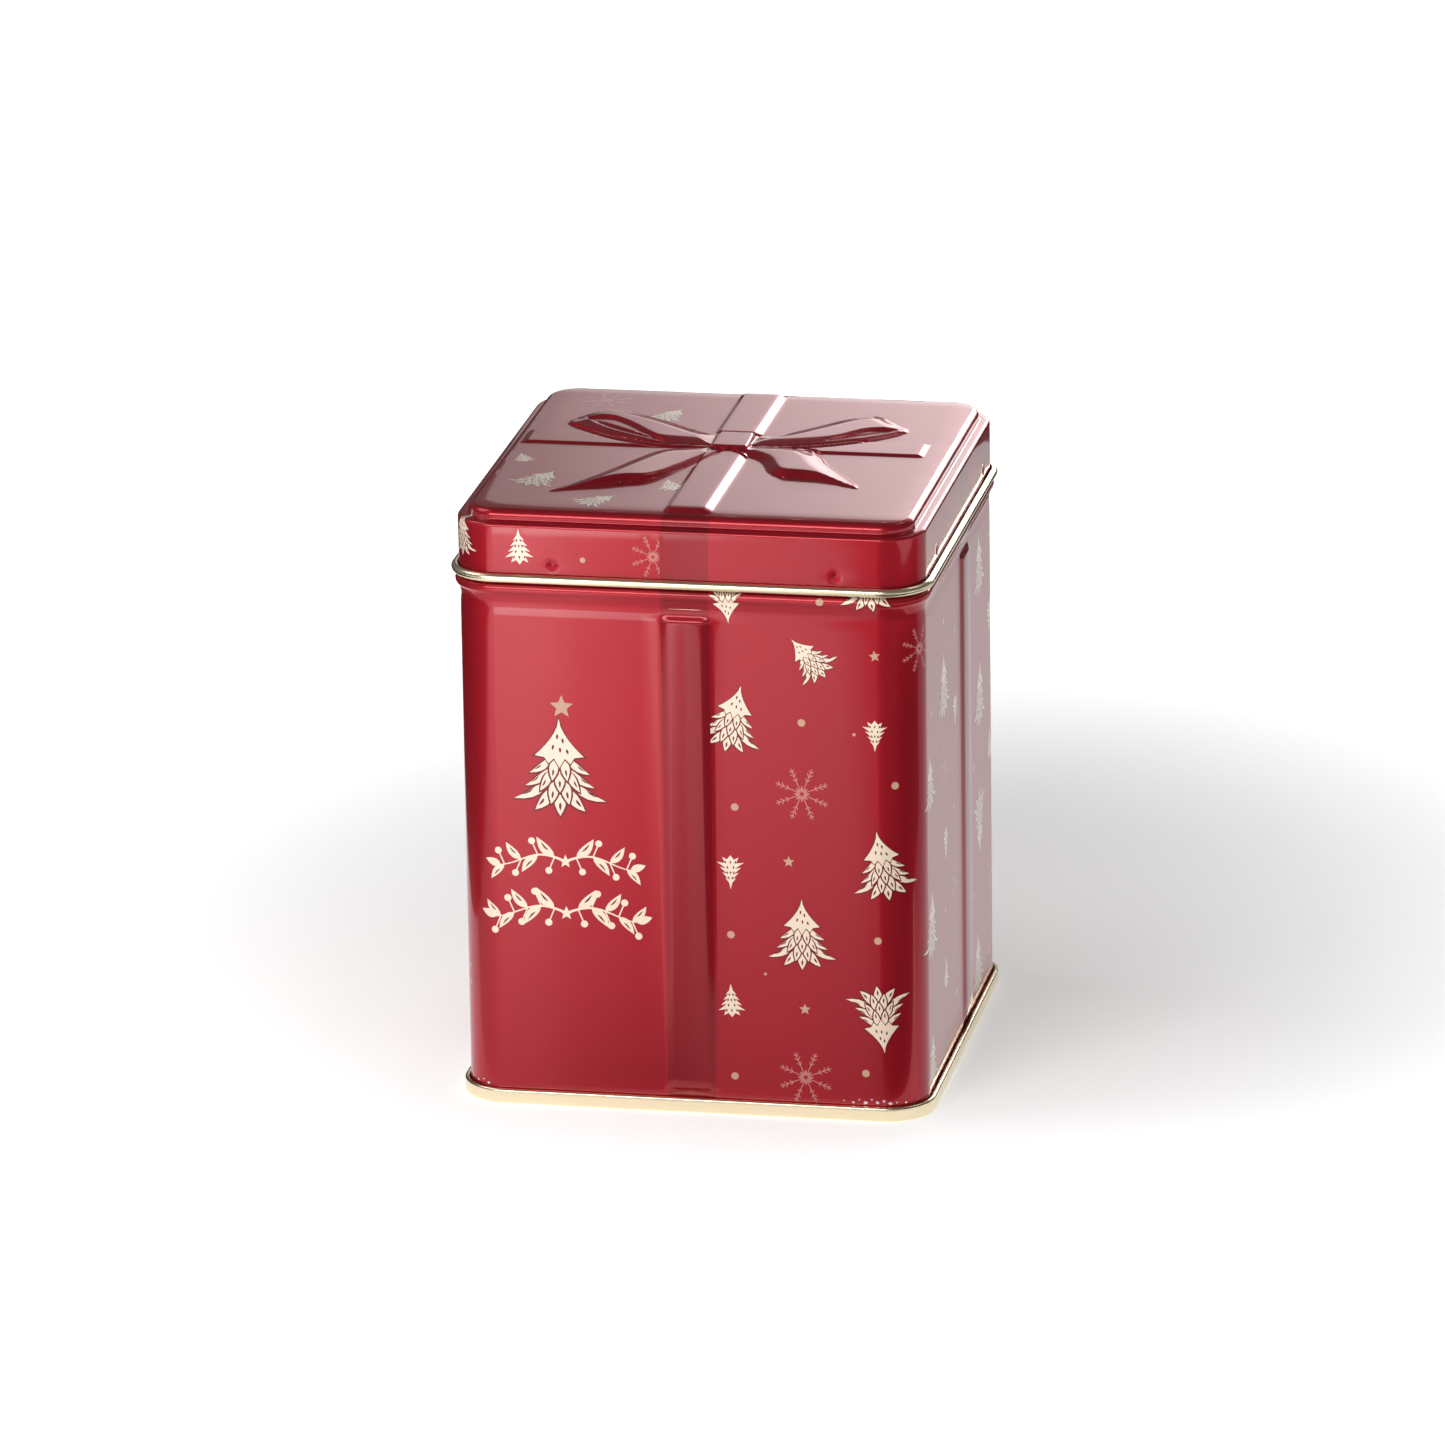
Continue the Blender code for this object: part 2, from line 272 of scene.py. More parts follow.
def add_side_card():
    """A card on the floor to the right and behind whose paint glows grey, painted light for the right-hand
    face to mirror as a painted reflection.
    """
    material, shader = matt_paint("side_card", BLACK)
    tree = material.node_tree
    at = node(tree, "ShaderNodeSeparateXYZ", Vector=object_place(tree)).outputs
    tree.links.new(level_map(tree, at["X"], 0.10, 0.22, 0.66, 0.36), shader.inputs["Emission Strength"])
    only_in_reflections(flat_card("side_card", 0.048, 0.5, -0.04, 0.8, CARD_Z, material))


def add_studio():
    scene = bpy.context.scene
    scene.view_settings.view_transform = "Standard"
    scene.world = bpy.data.worlds.new("studio")
    scene.world.use_nodes = True
    background = scene.world.node_tree.nodes["Background"]
    background.inputs["Color"].default_value = (1.0, 1.0, 1.0, 1.0)
    background.inputs["Strength"].default_value = WORLD_LEVEL
    add_floor()
    add_front_card()
    add_side_card()
    lights = {softbox[0]: add_softbox(*softbox) for softbox in SOFTBOXES}
    # The lid mirrors the back light: dark on the left, bright on the right
    fade(lights["back"], 0.16, 0.94, 4.7, 0.5)
    # The left half of the lid's front mirrors this soft patch on the floor
    fade(lights["glint"], 0.05, 0.5, 5.0, 0.0, outwards=True)
    for flag in FLAGS:
        add_flag(*flag)


# ---- materials ----
def node(tree, kind, **settings):
    """A new node. Settings are its inputs, as values or as sockets to link, and its options."""
    made = tree.nodes.new(kind)
    for name, value in settings.items():
        if isinstance(value, bpy.types.NodeSocket):
            tree.links.new(value, made.inputs[name])
        elif name in made.inputs:
            made.inputs[name].default_value = value
        else:
            setattr(made, name, value)
    return made


def principled(name, **settings):
    """A new material, and the shader that the settings are for, with _ for the spaces in their names."""
    material = bpy.data.materials.new(name)
    material.use_nodes = True
    shader = material.node_tree.nodes["Principled BSDF"]
    for setting, value in settings.items():
        shader.inputs[setting.replace("_", " ")].default_value = value
    return material, shader


def object_place(tree):
    return node(tree, "ShaderNodeTexCoord").outputs["Object"]


def level_map(tree, value, start, end, first, last, interpolation="LINEAR"):
    """Runs from first to last while the value runs from start to end."""
    level = node(tree, "ShaderNodeMapRange", interpolation_type=interpolation, Value=value)
    for name, number in (("From Min", start), ("From Max", end), ("To Min", first), ("To Max", last)):
        level.inputs[name].default_value = number
    return level.outputs["Result"]


def lacquer(name, color, roughness, metallic, coat=1.0):
    """Glossy lacquer over tin: constant colour, a clear coat, and gloss and level that wander slightly."""
    material, shader = principled(name, Base_Color=(*color, 1.0), Metallic=metallic, Specular_IOR_Level=0.15,
                                  Coat_Weight=coat, Coat_Roughness=0.06, Coat_IOR=1.39)
    tree = material.node_tree
    at = object_place(tree)
    # Rubbed and less rubbed areas
    rubbed = node(tree, "ShaderNodeTexNoise", Vector=at, Scale=35.0, Detail=4.0, Roughness=0.6)
    gloss = level_map(tree, rubbed.outputs["Fac"], 0.0, 1.0, roughness - 0.05, roughness + 0.05)
    tree.links.new(gloss, shader.inputs["Roughness"])
    # The sheet is never quite flat, and the lacquer keeps a faint orange peel
    waves = node(tree, "ShaderNodeTexNoise", Vector=at, Scale=55.0, Detail=1.0)
    peel = node(tree, "ShaderNodeTexNoise", Vector=at, Scale=900.0, Detail=2.0)
    wide = node(tree, "ShaderNodeBump", Height=waves.outputs["Fac"], Strength=0.25, Distance=0.00012)
    fine = node(tree, "ShaderNodeBump", Height=peel.outputs["Fac"], Strength=0.02, Distance=0.0001,
                Normal=wide.outputs["Normal"])
    for name in ("Normal", "Coat Normal"):
        tree.links.new(fine.outputs["Normal"], shader.inputs[name])
    return material


def make_materials():
    """One material for each ink, in the order of the inks."""
    return [
        lacquer("red_print", (0.44, 0.010, 0.022), 0.38, 0.6),
        lacquer("ribbon_print", (0.32, 0.008, 0.017), 0.38, 0.6),
        lacquer("cream_print", (0.98, 0.79, 0.63), 0.42, 0.3),
        lacquer("tan_print", (0.60, 0.36, 0.24), 0.40, 0.1),
        lacquer("frost_print", (0.58, 0.22, 0.19), 0.40, 0.1),
        lacquer("outline_print", (0.18, 0.006, 0.012), 0.40, 0.4),
        lacquer("bare_tinplate", (0.86, 0.86, 0.85), 0.28, 0.9, coat=0.0),
        lacquer("gold_sheet", (0.95, 0.83, 0.57), 0.26, 0.95, coat=0.4),
    ]


# ---- flat patterns ----
def arc(center_u, center_v, radius, start, end, steps):
    angles = np.radians(np.linspace(start, end, steps + 1))
    return np.stack([center_u + radius * np.cos(angles), center_v + radius * np.sin(angles)], 1)


def breaks(low, high, longest, zones=()):
    """Grid lines from low to high: evenly spaced in each fine zone (start, end, step), wider elsewhere."""
    fixed = {low, high}
    for start, end, step in zones:
        start, end = max(start, low), min(end, high)
        if end > start:
            fixed.update(np.linspace(start, end, max(1, math.ceil((end - start) / step - 1e-6)) + 1))
    lines = []
    for line in sorted(fixed):
        if not lines or line - lines[-1] > 0.04:
            lines.append(line)
    lines[-1] = high
    result = []
    for start, end in zip(lines, lines[1:]):
        result += list(np.linspace(start, end, math.ceil((end - start) / longest - 1e-6) + 1)[:-1])
    return np.array(result + [high])


def smooth_step(value):
    value = np.clip(value, 0.0, 1.0)
    return value * value * (3.0 - 2.0 * value)


def ramp(value, rounding=0.14):
    """0 below 0 and 1 above 1, straight between, with small rounded bends."""
    return 0.5 * (np.hypot(value, rounding) - np.hypot(value - 1.0, rounding) + 1.0)


def place(shape, x, y, size=1.0, turn=0.0):
    """Parts of a motif (ink, points) scaled, turned by degrees and moved."""
    angle = math.radians(turn)
    spin = np.array([[math.cos(angle), math.sin(angle)], [-math.sin(angle), math.cos(angle)]])
    return [(ink, (points * size) @ spin + (x, y)) for ink, points in shape]


def stroke(points, width, taper=False):
    """A thin band along a line of points."""
    points = np.asarray(points, float)
    along = np.gradient(points, axis=0)
    along /= np.linalg.norm(along, axis=1)[:, None]
    side = np.stack([-along[:, 1], along[:, 0]], 1)
    half = np.full(len(points), 0.5 * width)
    if taper:
        half *= np.linspace(1.0, 0.35, len(points))
    return np.concatenate([points + side * half[:, None], (points - side * half[:, None])[::-1]])


def leaf(base, tip, width, bend=0.0, steps=6):
    """A pointed leaf from base to tip, widest before its middle, bowed sideways by bend."""
    base, tip = np.asarray(base, float), np.asarray(tip, float)
    along = tip - base
    side = np.array([-along[1], along[0]]) / np.linalg.norm(along)
    t = np.linspace(0.0, 1.0, steps + 1)[:, None]
    axis = base + along * t + side * (4.0 * bend * t * (1.0 - t))
    half = 0.5 * width * np.sin(math.pi * t ** 0.8) ** 0.9
    return np.concatenate([axis + side * half, (axis - side * half)[-2:0:-1]])


def disc(radius, sides=12):
    return arc(0.0, 0.0, radius, 0.0, 360.0, sides)[:-1]


def star(radius):
    angles = np.radians(90.0 + 36.0 * np.arange(10))
    reach = np.where(np.arange(10) % 2 == 0, radius, 0.45 * radius)
    return np.stack([reach * np.cos(angles), reach * np.sin(angles)], 1)


# The fir is 1 high and stands on 0. Each tier, lowest first: leaves (foot x, foot y, tip x, tip y, width)
# on the right-hand side; those off the middle are mirrored.
FIR_TIERS = [
    [(0.0, 0.26, 0.0, 0.0, 0.115), (0.08, 0.28, 0.25, 0.055, 0.105)],
    [(0.05, 0.37, 0.09, 0.12, 0.10), (0.10, 0.37, 0.46, 0.165, 0.085)],
    [(0.0, 0.47, 0.0, 0.24, 0.10), (0.09, 0.47, 0.20, 0.25, 0.08), (0.09, 0.49, 0.345, 0.30, 0.07)],
    [(0.05, 0.58, 0.075, 0.36, 0.09), (0.08, 0.60, 0.30, 0.435, 0.07)],
]


def fir():
    """A stylised fir of overlapping leaves under a pointed spire."""
    line = 0.014
    parts = []
    for tier in FIR_TIERS:
        for foot_x, foot_y, tip_x, tip_y, width in reversed(tier):
            for hand in ((-1.0, 1.0) if foot_x > 0.0 else (1.0,)):
                base, tip = np.array([hand * foot_x, foot_y]), np.array([hand * tip_x, tip_y])
                out = (tip - base) / np.linalg.norm(tip - base)
                bend = -0.11 * hand * (tip_x - foot_x)
                parts.append((LINE, leaf(base, tip + 2.0 * line * out, width + 2.4 * line, bend, 5)))
                parts.append((CREAM, leaf(base, tip, width, bend, 5)))
                slit = (base + 0.45 * (tip - base), base + 0.80 * (tip - base))
                parts.append((LINE, leaf(*slit, 0.24 * width, 0.3 * bend, 3)))
    parts += [(LINE, fir_spire(line)), (CREAM, fir_spire(0.0))]
    for x, y in ((-0.02, 0.81), (0.04, 0.77), (-0.07, 0.70), (0.01, 0.675), (0.09, 0.66)):
        parts.append((LINE, leaf((x * 0.8, y + 0.032), (x, y - 0.028), 0.026, 0.0, 3)))
    return parts


def small_fir():
    """A simpler fir for small sizes: spiky tiers, each with a row of short dashes."""
    tips = [(0.16, 0.66), (0.24, 0.50), (0.31, 0.34), (0.40, 0.18)]
    right = [(0.0, 1.0), (0.05, 0.80)]
    for x, y in tips:
        right += [(x, y), (0.42 * x, y + 0.035)]
    right += [(0.24, 0.03), (0.10, 0.10)]
    right = np.array(right)
    outline = np.concatenate([right, [(0.0, -0.03)], right[:0:-1] * (-1.0, 1.0)])
    parts = [(CREAM, outline)]
    for (x, y), count in zip(tips, (2, 3, 2, 3)):
        for index in range(count):
            at = (index + 0.5) / count * 2.0 - 1.0
            foot = np.array([0.50 * x * at, y + 0.055])
            parts.append((LINE, leaf(foot, foot + (0.05 * at, -0.11), 0.055, 0.0, 2)))
    return parts


def fir_spire(grow):
    """The top of the fir: a point with hollow sides that run out to two side tips, and a toothed foot."""
    t = np.linspace(0.0, 1.0, 7)
    right = np.stack([0.245 * t ** 1.45 + grow, 1.0 - 0.385 * t ** 0.85], 1)
    right[0] = (0.0, 1.0 + 2.5 * grow)
    right[-1] += (1.4 * grow, -0.5 * grow)
    teeth = [(0.15, 0.60), (0.11, 0.535), (0.055, 0.59), (0.0, 0.495)]
    teeth += [(-x, y) for x, y in teeth[-2::-1]]
    foot = np.array(teeth) - (0.0, 1.4 * grow)
    left = right[:0:-1] * (-1.0, 1.0)
    return np.concatenate([right, foot, left])


def snowflake():
    """Eight thin arms with feathered tips around a small burst."""
    width = 0.032
    parts = []
    for arm in range(8):
        angle = math.radians(22.5 + 45.0 * arm)
        out = np.array([math.cos(angle), math.sin(angle)])
        side = np.array([-out[1], out[0]])
        parts.append((FROST, stroke([0.12 * out, out], width)))
        for at, length in ((0.50, 0.13), (0.68, 0.16), (0.84, 0.13)):
            for hand in (-1.0, 1.0):
                tip = at * out + length * (0.75 * out + hand * 0.66 * side)
                parts.append((FROST, stroke([at * out, tip], width)))
        between = np.array([math.cos(angle + math.radians(22.5)), math.sin(angle + math.radians(22.5))])
        parts.append((FROST, leaf(0.05 * between, 0.30 * between, 0.09, 0.0, 4)))
    return parts


def sprig(length, height, leaves):
    """A mirrored twig with leaves and berries around a small star, for where the tin has its greeting."""
    t = np.linspace(0.06, 1.0, 17)
    stem = np.stack([0.5 * length * t, 0.13 * height * np.sin(1.5 * math.pi * t)], 1)
    half = [(CREAM, stroke(stem, 0.5, taper=True))]
    end = stem[-1]
    half.append((CREAM, leaf(end - (0.6, 0.0), end + (0.26 * height, 0.12 * height), 0.17 * height)))
    for index in range(leaves):
        at = 0.16 + 0.74 * index / (leaves - 1)
        root = np.array([0.5 * length * at, 0.13 * height * math.sin(1.5 * math.pi * at)])
        up = 1.0 if index % 2 == 0 else -1.0
        size = height * (0.60 - 0.18 * at)
        tip = root + size * np.array([0.66, 0.75 * up])
        half.append((CREAM, leaf(root, tip, 0.36 * size, -0.07 * size * up)))
        slit = (root + 0.32 * (tip - root), root + 0.76 * (tip - root))
        half.append((LINE, leaf(*slit, 0.07 * size, -0.03 * size * up, 4)))
        berry = root + 0.30 * height * np.array([0.42, -up])
        half.append((CREAM, stroke([root, berry], 0.26)))
        half.append((CREAM, disc(0.075 * height) + berry))
    mirrored = [(ink, points * (-1.0, 1.0)) for ink, points in half]
    return half + mirrored + [(CREAM, star(0.15 * height))]


USUAL_SIZES = {"dot": 0.75, "star": 1.15}


def prints_of(layout):
    """Paint-ordered (ink, points) for a list of (motif, x, y, size, turn). Turn may be left out, and size
    where it is the usual one."""
    shapes = {
        "fir": [(ink, points - (0.0, 0.5)) for ink, points in fir()],
        "small_fir": [(ink, points - (0.0, 0.5)) for ink, points in small_fir()],
        "star": [(TAN, star(1.0))],
        "dot": [(TAN, disc(1.0))],
        "flake": snowflake(),
    }
    parts = []
    for motif, x, y, *rest in layout:
        size, turn = rest + [USUAL_SIZES.get(motif), 0][len(rest):]
        parts += place(shapes[motif], x, y, size, turn)
    return parts


# Print on the faces: (motif, across, height, size, turn in degrees), across from the face's middle
FRONT_PRINT = [
    ("star", -24.2, 80.4, 2.35), ("fir", -24.8, 68.3, 19.5), ("fir", 8.0, 103.7, 10.6, 184),
    ("dot", 26.1, 103.6), ("fir", 35.4, 108.4, 13.0, 8), ("fir", 23.7, 92.2, 9.8, 42),
    ("star", 36.4, 93.1, 1.15, 8), ("fir", 9.0, 79.6, 13.6, -14), ("dot", 22.2, 79.3),
    ("small_fir", 36.3, 77.2, 6.0, 180), ("dot", 32.3, 77.4, 0.32), ("flake", 22.1, 65.1, 5.4),
    ("dot", 9.1, 61.9), ("dot", 40.1, 67.4), ("small_fir", 8.1, 48.7, 6.6, 180), ("star", 19.4, 51.4),
    ("fir", 37.6, 51.4, 14.0, 10), ("fir", 21.8, 36.9, 14.2), ("dot", 8.0, 36.2), ("dot", 36.5, 36.3),
    ("small_fir", 7.9, 23.0, 6.6, 2), ("star", 22.2, 21.8), ("dot", 14.6, 28.6, 0.28),
    ("fir", 36.9, 20.4, 13.6, 186), ("flake", 22.2, 8.0, 5.4), ("dot", 8.4, 7.6), ("dot", 33.9, 9.4),
]
SIDE_PRINT = [
    ("fir", -17.6, 79.3, 13.4, 2), ("fir", 24.2, 64.7, 13.8, -3), ("fir", -34.0, 64.8, 11.6, 5),
    ("flake", -40.4, 93.6, 4.6), ("fir", 24.4, 91.0, 13.0, 4), ("small_fir", 36.0, 76.5, 7.0, 176),
    ("small_fir", -16.8, 46.8, 6.8, 180), ("fir", -33.2, 36.2, 14.0, -4), ("small_fir", -17.6, 21.4, 6.6),
    ("fir", -33.4, 8.8, 11.0), ("fir", 20.2, 10.6, 12.6, 3), ("fir", 23.0, 38.2, 14.0, 184),
    ("small_fir", 35.6, 50.9, 6.6, 8), ("dot", -32.0, 78.0), ("dot", -17.5, 92.0),
    ("flake", -17.0, 62.5, 5.2), ("star", -5.0, 86.5), ("flake", -6.6, 36.0, 4.6),
    ("star", 36.0, 93.5, 1.15, 12), ("dot", 36.4, 63.0), ("flake", 37.0, 24.5, 5.2), ("star", -17.8, 33.8),
    ("dot", -7.4, 51.5), ("dot", -5.4, 13.0), ("star", 16.4, 51.6, 1.15, 5), ("dot", 15.8, 25.6),
    ("dot", 38.0, 37.8), ("dot", 33.5, 8.0), ("small_fir", -5.0, 70.0, 6.6, 184), ("dot", -5.6, 24.5, 0.4),
]
BACK_PRINT = [
    ("fir", -20.5, 88.0, 13.8, 4), ("flake", -34.0, 74.5, 5.4), ("small_fir", -9.6, 76.0, 6.6, 180),
    ("fir", -22.0, 57.5, 14.0, 182), ("star", -35.4, 91.0), ("dot", -9.0, 93.0),
    ("small_fir", -36.4, 52.0, 6.8, 6), ("dot", -9.2, 62.0), ("flake", -12.0, 44.0, 5.0),
    ("fir", -33.6, 33.0, 13.8, 7), ("star", -20.5, 34.5), ("fir", -15.4, 17.5, 13.6, -4),
    ("dot", -37.0, 17.0), ("small_fir", -30.5, 10.0, 6.6, 184), ("fir", 13.2, 84.5, 13.8, -6),
    ("dot", 9.6, 70.2), ("flake", 22.6, 69.0, 5.4), ("fir", 14.2, 53.5, 13.0, 5), ("star", 24.6, 84.0),
    ("small_fir", 24.6, 50.5, 6.6, 176), ("fir", 20.8, 31.0, 14.0, 180), ("dot", 9.4, 38.0),
    ("star", 9.8, 24.0), ("small_fir", 11.0, 11.6, 6.8), ("dot", 24.6, 14.4),
    ("small_fir", 25.0, 97.0, 6.0, 4),
]

SKIRT_PRINT = [
    ("fir", -44.2, 113.4, 8.8), ("small_fir", -31.8, 112.1, 6.9, 2), ("dot", -19.5, 109.8, 0.55),
    ("flake", -5.9, 111.0, 4.4),
]
# Print on the lid panel, by (x, y)
PANEL_PRINT = [
    ("fir", -32.4, -21.6, 11.0, -20), ("fir", -18.6, -34.5, 9.0, -40), ("small_fir", -6.8, -22.6, 7.5, 20),
    ("fir", -15.9, 24.9, 9.0, -20), ("flake", -30.2, 33.6, 5.0), ("small_fir", -38.5, -8.0, 6.0, 20),
]
# The leafy ornament on the front, upper and lower sprig: length, height, leaves, middle
SPRIGS = [(26.5, 9.2, 4, (-24.0, 49.4)), (28.5, 9.6, 5, (-24.0, 39.0))]
# Places worn to the bare metal, just over the foot seam: (way round, height, size, turn)
CHIPS = [
    (29.6, 3.7, 0.35, 20), (31.4, 3.4, 0.6, 0), (32.6, 4.0, 0.4, 50), (33.8, 3.4, 0.9, 8),
    (35.0, 4.1, 0.5, -20), (36.1, 3.5, 0.8, 0), (37.4, 3.9, 0.7, 30), (38.6, 3.4, 0.9, -6),
    (39.9, 3.6, 0.4, 60), (41.7, 3.4, 0.5, 0), (-40.2, 3.4, 0.7, 0), (-41.4, 4.0, 0.4, 40),
    (-43.0, 3.5, 0.6, -10), (-45.1, 3.7, 0.4, 20),
]


def face_print():
    """All print on the body as (ink, points), points as (way round, height)."""
    parts = []
    for layout, side in ((FRONT_PRINT, 0), (SIDE_PRINT, 1), (SIDE_PRINT, -1), (BACK_PRINT, 2)):
        parts += [(ink, points + (side * QUARTER, 0.0)) for ink, points in prints_of(layout)]
    for length, height, leaves, middle in SPRIGS:
        parts += place(sprig(length, height, leaves), *middle)
    return parts


def chip_print():
    chip = [(BARE, leaf((-0.5, 0.0), (0.5, 0.0), 0.7, 0.1, 3))]
    return [part for at in CHIPS for part in place(chip, *at)]


def ribbon_print(start, end):
    """A band of darker print over each face's ribbon, from one row to another."""
    parts = []
    for side in (0, 1, 2, -1):
        middle = side * QUARTER + ribbon_middle(side)
        left, right = middle - RIBBON_HALF, middle + RIBBON_HALF
        parts.append((RIBBON_RED, np.array([(left, start), (right, start), (right, end), (left, end)])))
    return parts


# ---- sheets and plan ----
def plan(u):
    """Points and outward normals of the body's plan; u is the way round from the middle of the front."""
    side, along = np.divmod(np.asarray(u, float) + 0.5 * FLAT, QUARTER)
    turned = np.clip(along - FLAT, 0.0, TURN) / CORNER_RADIUS
    inner = BODY_HALF - CORNER_RADIUS
    x = np.minimum(along, FLAT) - 0.5 * FLAT + CORNER_RADIUS * np.sin(turned)
    y = -inner - CORNER_RADIUS * np.cos(turned)
    angle = 0.5 * math.pi * side
    c, s = np.cos(angle), np.sin(angle)
    nx, ny = np.sin(turned), -np.cos(turned)
    return np.stack([c * x - s * y, s * x + c * y], -1), np.stack([c * nx - s * ny, s * nx + c * ny], -1)


class Section:
    """A sheet's section as a smooth path of (half width, height), read by distance along it."""

    def __init__(self, points, rounding):
        points = np.concatenate([np.atleast_2d(p) for p in points])
        steps = np.linalg.norm(np.diff(points, axis=0), axis=1)
        points = points[np.concatenate([[True], steps > 1e-6])]
        way = np.concatenate([[0.0], np.cumsum(np.linalg.norm(np.diff(points, axis=0), axis=1))])
        spacing = 0.02
        fine = np.linspace(0.0, way[-1], max(2, int(way[-1] / spacing)))
        path = np.stack([np.interp(fine, way, points[:, 0]), np.interp(fine, way, points[:, 1])], 1)
        reach = int(rounding / spacing)
        if reach > 0:
            weights = np.hanning(2 * reach + 3)[1:-1]
            weights /= weights.sum()
            before = 2 * path[:1] - path[reach:0:-1]
            after = 2 * path[-1:] - path[-2:-reach - 2:-1]
            padded = np.concatenate([before, path, after])
            path = np.stack([np.convolve(padded[:, k], weights, "valid") for k in (0, 1)], 1)
        self.way = np.concatenate([[0.0], np.cumsum(np.linalg.norm(np.diff(path, axis=0), axis=1))])
        self.path = path
        self.length = self.way[-1]

    def half(self, s):
        return np.interp(s, self.way, self.path[:, 0])

    def height(self, s):
        return np.interp(s, self.way, self.path[:, 1])

    def way_at(self, z, start=0.0, end=None):
        """Distance along the path where it comes down to height z, between start and end."""
        end = self.length if end is None else end
        picked = (self.way >= start) & (self.way <= end)
        return np.interp(-np.asarray(z, float), -self.path[picked, 1], self.way[picked])

    def rows(self, longest, turn=10.0, zones=()):
        """Distances for grid rows: a row after each turn of so many degrees."""
        along = np.gradient(self.path, axis=0)
        heading = np.unwrap(np.arctan2(along[:, 1], along[:, 0]))
        turned = np.concatenate([[0.0], np.cumsum(np.abs(np.diff(heading)))])
        count = int(turned[-1] / math.radians(turn))
        rising = turned + 1e-9 * np.arange(len(turned))
        bends = np.interp(np.linspace(0.0, turned[-1], count + 1), rising, self.way)
        return breaks(0.0, self.length, longest, [(b, b + 1e-3, 1.0) for b in bends] + list(zones))


def grid_of(columns, rows):
    """The points of a grid, and their numbers by column and row."""
    points = np.stack(np.meshgrid(columns, rows, indexing="ij"), -1).reshape(-1, 2)
    return points, np.arange(len(points)).reshape(len(columns), len(rows))


def quads_of(index):
    return np.stack([index[:-1, :-1], index[:-1, 1:], index[1:, 1:], index[1:, :-1]], -1).reshape(-1, 4)


def cut_sheet(columns, rows, prints, outline=None):
    """Cuts a flat sheet into triangles along its grid and its print. Returns points, triangles, inks."""
    grid, index = grid_of(columns, rows)
    edges = np.concatenate([
        np.stack([index[:-1].ravel(), index[1:].ravel()], 1),
        np.stack([index[:, :-1].ravel(), index[:, 1:].ravel()], 1)])
    if outline is not None:
        keep = inside(grid, outline, -0.02)
        new_index = np.cumsum(keep) - 1
        edges = new_index[edges[keep[edges].all(1)]]
        grid = grid[keep]
        first = len(grid)
        grid = np.concatenate([grid, outline])
        ring = first + np.arange(len(outline))
        edges = np.concatenate([edges, np.stack([ring, np.roll(ring, -1)], 1)])
    points, faces, inks = [grid], [], [RED]
    count = len(grid)
    for ink, polygon in prints:
        if signed_area(polygon) < 0.0:
            polygon = polygon[::-1]
        points.append(polygon)
        faces.append(list(range(count, count + len(polygon))))
        inks.append(ink)
        count += len(polygon)
    points = np.concatenate(points)
    cut = delaunay_2d_cdt([Vector(p) for p in points.tolist()], edges.tolist(), faces, 0, 1e-5, True)
    out_points = np.array([tuple(v) for v in cut[0]])
    triangles = np.array(cut[2])
    top = np.array([max(covering) + 1 if covering else 0 for covering in cut[5]])
    ink = np.array(inks)[top]
    middles = out_points[triangles].mean(1)
    if outline is not None:
        picked = inside(middles, outline, 0.0)
    else:
        picked = ((middles > (columns[0], rows[0])) & (middles < (columns[-1], rows[-1]))).all(1)
    triangles, ink = triangles[picked], ink[picked]
    used, triangles = np.unique(triangles, return_inverse=True)
    return out_points[used], triangles.reshape(-1, 3), ink


def signed_area(polygon):
    after = np.roll(polygon, -1, 0)
    return 0.5 * np.sum(polygon[:, 0] * after[:, 1] - after[:, 0] * polygon[:, 1])


def inside(points, outline, margin):
    """Whether points are within a convex anticlockwise outline, at least -margin from its edges."""
    result = np.ones(len(points), bool)
    for start, end in zip(outline, np.roll(outline, -1, 0)):
        along = (end - start) / np.linalg.norm(end - start)
        side = along[0] * (points[:, 1] - start[1]) - along[1] * (points[:, 0] - start[0])
        result &= side > -margin
    return result


def normals_of(surface, points):
    """Outward normals of a surface function by small differences."""
    reach = 0.03
    du = surface(points + (reach, 0.0)) - surface(points - (reach, 0.0))
    dv = surface(points + (0.0, reach)) - surface(points - (0.0, reach))
    normal = np.cross(dv, du)
    return normal / np.maximum(np.linalg.norm(normal, axis=1), 1e-12)[:, None]


def turned_to(points, normals, faces):
    """Faces wound so that they face along their points' normals."""
    facing = np.cross(points[faces[:, 1]] - points[faces[:, 0]], points[faces[:, 2]] - points[faces[:, 0]])
    backward = np.einsum("ij,ij->i", facing, normals[faces].mean(1)) < 0
    return np.where(backward[:, None], faces[:, ::-1], faces)


